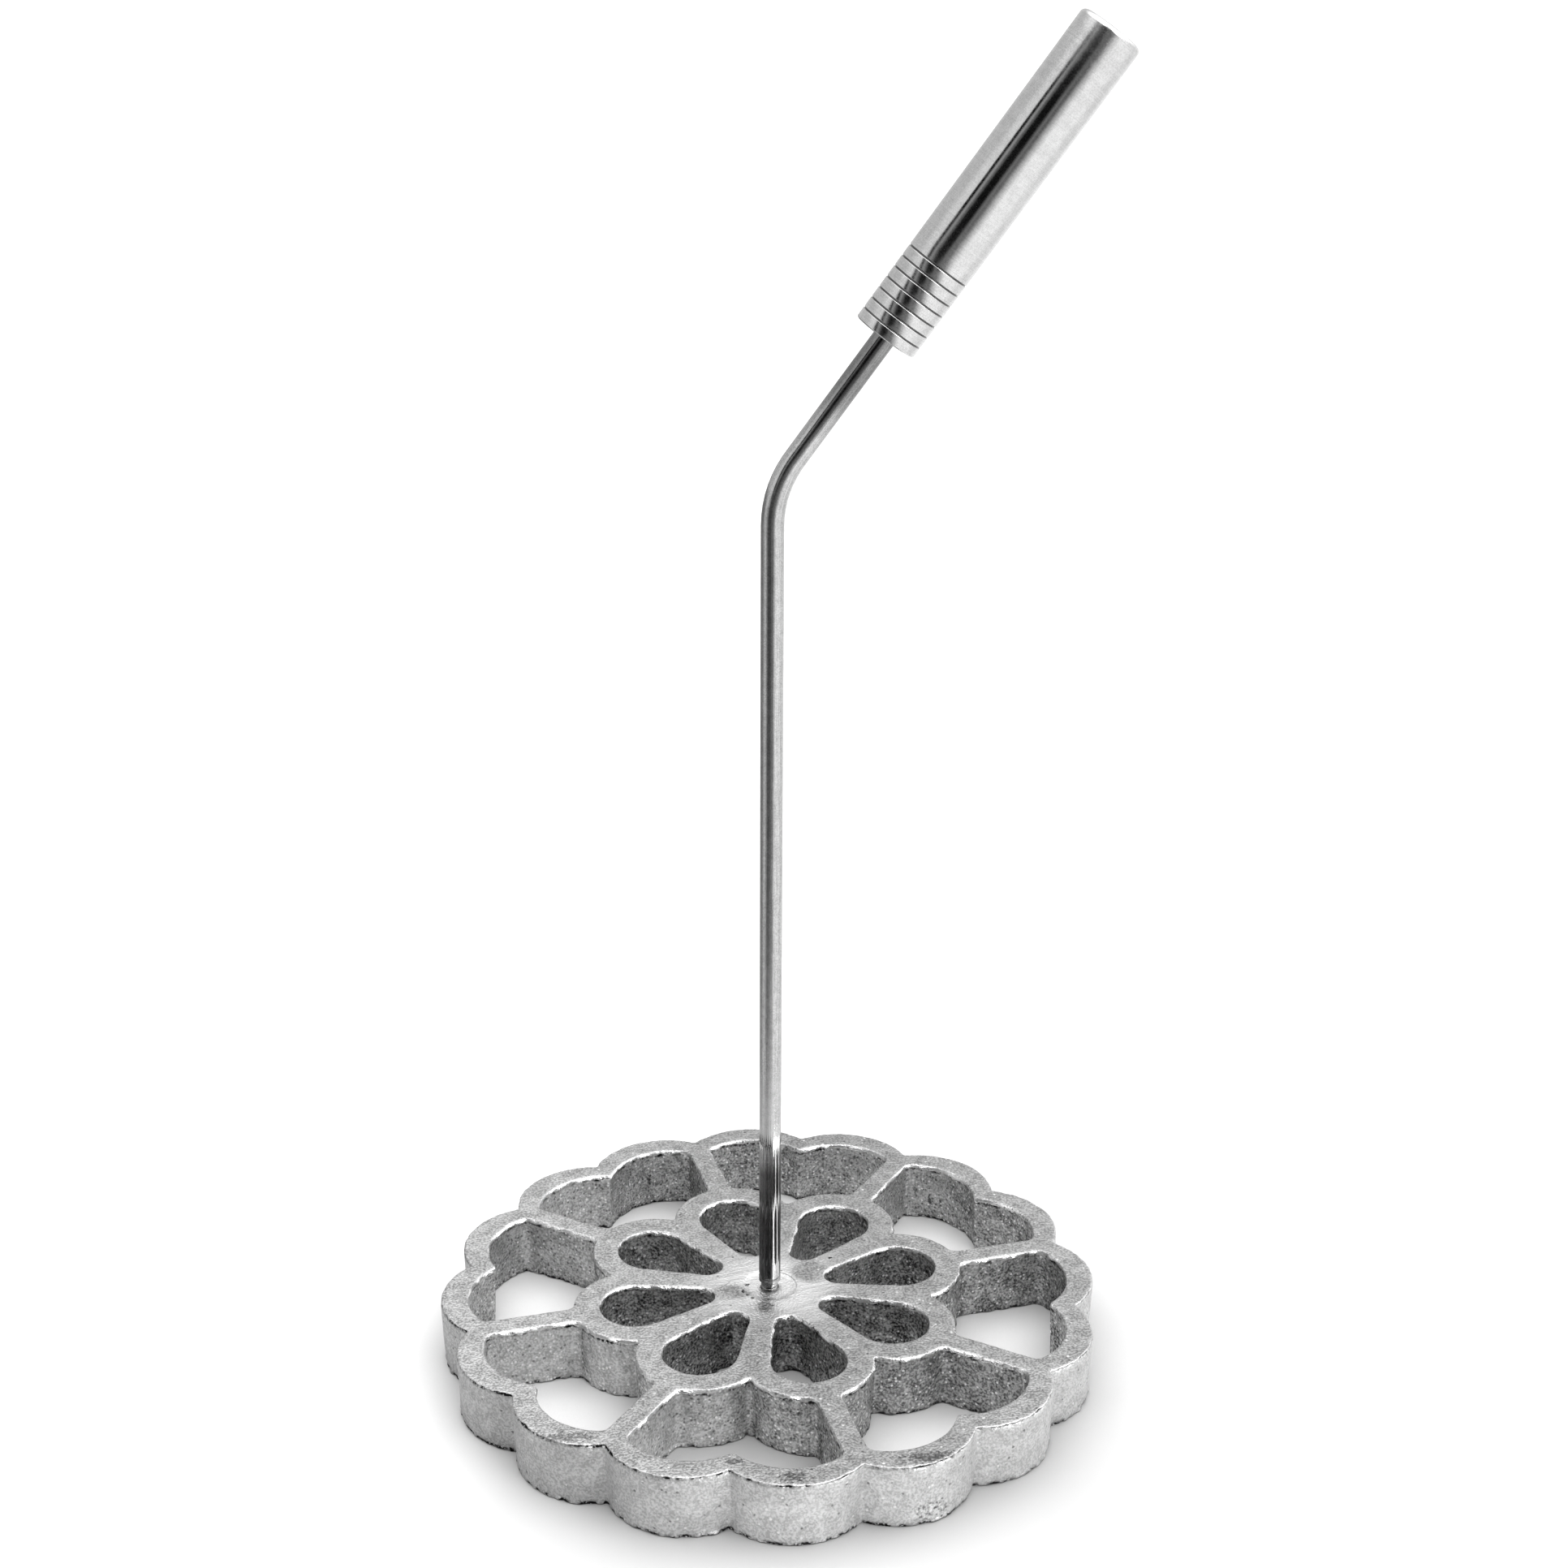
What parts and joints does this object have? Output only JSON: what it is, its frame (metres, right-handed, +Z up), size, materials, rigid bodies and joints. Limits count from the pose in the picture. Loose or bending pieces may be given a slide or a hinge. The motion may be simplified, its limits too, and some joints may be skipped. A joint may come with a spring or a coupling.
{
  "type": "rosette iron",
  "caption": "Rosette iron: a flat cast mould of petals inside a scalloped rim, a bent steel rod screwed into its hub, and a turned bar handle with fine grooves.",
  "frame": {"origin": "centre of the mould's underside, below the rod", "axes": "+Z up along the rod's straight part, +X the way the handle leans, +Y completes a right-handed frame"},
  "size_m": [0.1536, 0.1536, 0.3022],
  "materials": {
    "cast_aluminium": "sand-cast, ground flat on top",
    "bright_steel": "bright drawn, polished",
    "turned_aluminium": "turned and polished"
  },
  "bodies": {
    "mould": {"rosette_mould": "cast_aluminium"},
    "rod": {"bent_rod": "bright_steel"},
    "grip": {"handle": "turned_aluminium"}
  },
  "joints": [
    {"name": "rod_unscrews", "type": "hinge", "parent": "mould", "child": "rod", "pos_m": [0, 0, 0.0155], "axis": [0, 0, 1], "range_deg": [0, 5657]},
    {"name": "handle_unscrews", "type": "hinge", "parent": "rod", "child": "grip", "pos_m": [0.02281, 0, 0.23809], "axis": [0.5878, 0, 0.809], "range_deg": [0, 5940]}
  ]
}
